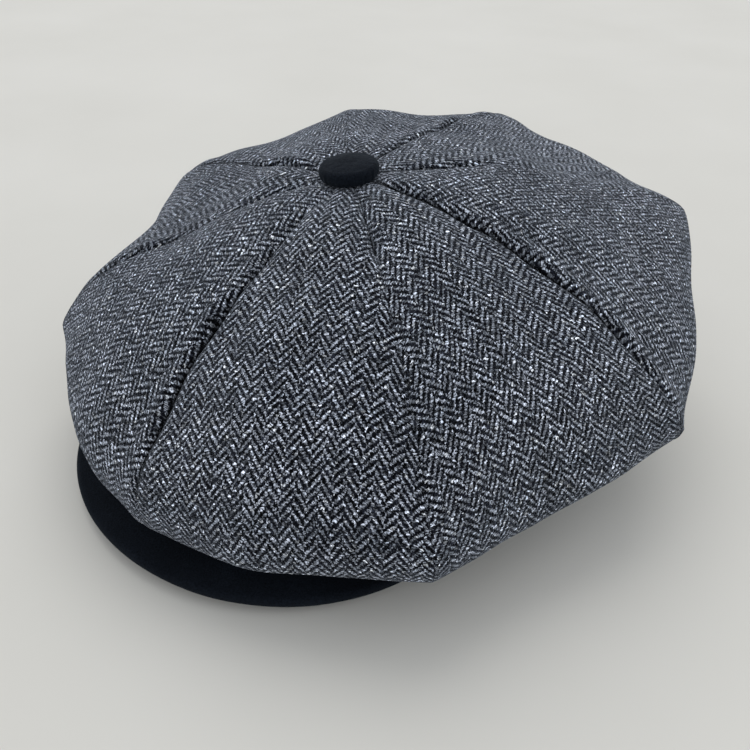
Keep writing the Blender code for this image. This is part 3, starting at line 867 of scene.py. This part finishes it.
def wool_material():
    """Close black felted wool."""
    m = Shader("black_wool", Roughness=0.95, Sheen_Weight=0.06, Sheen_Roughness=0.4)
    m.put(m.shader.inputs["Sheen Tint"], (0.60, 0.75, 0.90))
    m.put(m.shader.inputs["Specular IOR Level"], 0.08)
    place = m.node("TexCoord").outputs["Object"]
    fibres = m.noise(1700.0, 4.0, place, 0.75)
    felt = m.noise(600.0, 3.0, place, 0.6)
    clouds = m.noise(45.0, 2.0, place)
    tone = m.math("MULTIPLY", m.ramp(fibres, 0.3, 0.7), m.ramp(clouds, 0.3, 0.7, 0.6, 1.2))
    colour = m.mix(tone, (0.0008, 0.0013, 0.0024), (0.0105, 0.0145, 0.0220))
    lint = m.node("TexVoronoi", {"Vector": place, "Scale": 260.0})
    chosen = m.node("SeparateColor", {"Color": lint.outputs["Color"]}).outputs["Green"]
    spot = m.math("LESS_THAN", lint.outputs["Distance"], 0.07)
    spot = m.math("MULTIPLY", m.math("GREATER_THAN", chosen, 0.985), spot)
    colour = m.mix(m.math("MULTIPLY", spot, 0.4), colour, (0.10, 0.11, 0.12))
    height = m.math("ADD", m.math("MULTIPLY", fibres, 0.7), felt)
    return m.finish(colour, m.ramp(felt, 0.3, 0.7, 0.86, 0.98), m.bump(height, 0.00028, 0.8))


def satin_material():
    """Black satin: long floats that shine along one direction."""
    m = Shader("lining_satin", Roughness=0.35, Specular_IOR_Level=0.55)
    m.put(m.shader.inputs["Anisotropic"], 0.5)
    x, y = m.cloth()
    threads = m.math("SINE", m.math("MULTIPLY", x, 2 * math.pi / 0.0004))
    flat = m.node("CombineXYZ", {0: m.math("MULTIPLY", x, 6.0), 1: y}).outputs[0]
    streak = m.noise(180.0, 3.0, flat)
    colour = m.mix(m.ramp(streak, 0.3, 0.7), (0.010, 0.011, 0.013), (0.030, 0.032, 0.037))
    height = m.math("ADD", m.math("MULTIPLY", threads, 0.4), streak)
    return m.finish(colour, m.ramp(streak, 0.3, 0.7, 0.28, 0.42), m.bump(height, 0.00008, 0.6))


def leather_material():
    """Thin dark leather, with pores and a row of stitches along its lower edge."""
    m = Shader("sweatband_leather", Roughness=0.5, Specular_IOR_Level=0.5)
    m.put(m.shader.inputs["Coat Weight"], 0.08)
    x, y = m.cloth()
    flat = m.node("CombineXYZ", {0: x, 1: y}).outputs[0]
    grain = m.node("TexVoronoi", {"Vector": flat, "Scale": 1100.0}, feature="DISTANCE_TO_EDGE")
    edges = m.ramp(grain.outputs["Distance"], 0.0, 0.18)
    worn = m.noise(60.0, 4.0, flat)
    colour = m.mix(m.ramp(worn, 0.35, 0.7), (0.020, 0.015, 0.012), (0.060, 0.045, 0.036))
    row = m.math("LESS_THAN", m.math("ABSOLUTE", m.math("SUBTRACT", y, 0.0035)), 0.0004)
    beat = m.math("LESS_THAN", m.math("FRACT", m.math("DIVIDE", x, 0.0032)), 0.72)
    stitch = m.math("MULTIPLY", row, beat)
    colour = m.mix(stitch, colour, (0.10, 0.095, 0.085))
    height = m.math("ADD", edges, m.math("MULTIPLY", stitch, 1.5))
    return m.finish(colour, m.ramp(worn, 0.3, 0.7, 0.42, 0.60), m.bump(height, 0.00012, 0.6))


def canvas_material():
    """Undyed plain-woven canvas."""
    m = Shader("canvas", Roughness=0.9)
    place = m.node("TexCoord").outputs["Object"]
    threads = {"Vector": place, "Scale": 900.0, "Distortion": 0.6}
    weft = m.node("TexWave", threads, bands_direction="Z").outputs["Fac"]
    warp = m.node("TexWave", threads, bands_direction="X").outputs["Fac"]
    height = m.math("MULTIPLY", weft, warp)
    slub = m.noise(300.0, 3.0, place)
    colour = m.mix(m.ramp(slub, 0.3, 0.7), (0.46, 0.43, 0.37), (0.66, 0.63, 0.56))
    return m.finish(colour, 0.9, m.bump(height, 0.0003, 0.7))


def board_material():
    """Semi-stiff plastic board with a fine moulded grain."""
    m = Shader("visor_board", Roughness=0.5)
    place = m.node("TexCoord").outputs["Object"]
    grain = m.noise(900.0, 3.0, place)
    colour = m.mix(m.ramp(grain, 0.3, 0.7), (0.66, 0.65, 0.61), (0.76, 0.75, 0.71))
    return m.finish(colour, m.ramp(grain, 0.3, 0.7, 0.42, 0.58), m.bump(grain, 0.0001, 0.5))


def steel_material():
    """Stamped tin-plated steel."""
    m = Shader("button_steel", Roughness=0.35, Metallic=1.0)
    place = m.node("TexCoord").outputs["Object"]
    drawn = m.noise(500.0, 3.0, place)
    colour = m.mix(m.ramp(drawn, 0.3, 0.7), (0.48, 0.48, 0.49), (0.62, 0.62, 0.62))
    return m.finish(colour, m.ramp(drawn, 0.3, 0.7, 0.28, 0.45), m.bump(drawn, 0.00005, 0.5))


def assign(material, *nodes):
    """A better material for CAD nodes that stay as they are."""
    for name in nodes:
        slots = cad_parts[name].data.materials
        slots.clear()
        slots.append(material)


# ---------------------------------------------------------------- stage, light and camera
def build_stage():
    bpy.ops.mesh.primitive_plane_add(size=8.0, location=(0.0, 0.0, 0.0))
    floor = bpy.context.object
    floor.name = "floor"
    m = Shader("floor", Roughness=0.85)
    place = m.node("TexCoord").outputs["Object"]
    faint = m.noise(6.0, 3.0, place)
    colour = m.mix(m.ramp(faint, 0.3, 0.7), (0.655, 0.640, 0.595), (0.690, 0.675, 0.632))
    floor.data.materials.append(m.finish(colour))


def build_light():
    """An even studio dome and one very broad lamp, from behind the view's upper left."""
    world = bpy.data.worlds.new("studio")
    world.use_nodes = True
    backdrop = world.node_tree.nodes["Background"]
    backdrop.inputs["Color"].default_value = (0.93, 0.96, 1.0, 1.0)
    backdrop.inputs["Strength"].default_value = DOME_STRENGTH
    bpy.context.scene.world = world
    data = bpy.data.lights.new("window", "SUN")
    data.energy = LAMP_ENERGY
    data.angle = LAMP_SPREAD
    data.color = (1.0, 0.985, 0.96)
    window = bpy.data.objects.new("window", data)
    window.rotation_euler = Vector(LIGHT_DIRECTION).to_track_quat("-Z", "Y").to_euler()
    bpy.context.scene.collection.objects.link(window)
    bpy.context.scene.view_settings.view_transform = "Standard"


def build_camera():
    """The photo's camera: close, and looking down over the wearer's front left."""
    heading_angle, pitch, roll = (math.radians(angle) for angle in CAMERA_ANGLES)
    forward = Vector(
        (
            -math.sin(heading_angle) * math.cos(pitch),
            math.cos(heading_angle) * math.cos(pitch),
            -math.sin(pitch),
        )
    )
    right = forward.cross(Vector((0.0, 0.0, 1.0))).normalized()
    up = right.cross(forward)
    x_axis = right * math.cos(roll) + up * math.sin(roll)
    y_axis = up * math.cos(roll) - right * math.sin(roll)
    data = bpy.data.cameras.new("camera")
    data.sensor_width = 36.0
    data.lens = 36.0
    data.clip_start = 0.01
    camera = bpy.data.objects.new("camera", data)
    matrix = Matrix((x_axis, y_axis, -forward)).transposed().to_4x4()
    matrix.translation = Vector(BUTTON_AXIS) + Vector(CAMERA_FROM_BUTTON)
    camera.matrix_world = matrix
    bpy.context.scene.collection.objects.link(camera)
    bpy.context.scene.camera = camera


def main():
    tweed = tweed_material()
    wool = wool_material()
    build_camera()
    build_light()
    build_stage()
    build_crown(tweed, satin_material())
    build_band(
        "tweed_band",
        "outer_band",
        tweed,
        "tweed",
        outset=BAND_OUTSET,
        thickness=BAND_THICKNESS,
        low=BAND_EDGE,
        high=BAND_HEIGHT - BAND_EDGE,
        wave=BAND_WAVE_HEIGHT,
    )
    build_band(
        "leather_sweatband",
        "sweatband",
        leather_material(),
        "sweatband_leather",
        outset=0.0,
        thickness=SWEATBAND_THICKNESS,
        low=SWEATBAND_HEIGHTS[0],
        high=SWEATBAND_HEIGHTS[1],
        wave=SWEATBAND_WAVE_HEIGHT,
    )
    board = board_material()
    build_visor(wool, board)
    build_button(wool)
    assign(canvas_material(), "band_stiffener", "crown_patch")
    assign(steel_material(), "button_shell", "button_back", "button_prongs")
    assign(board, "visor_board")


main()
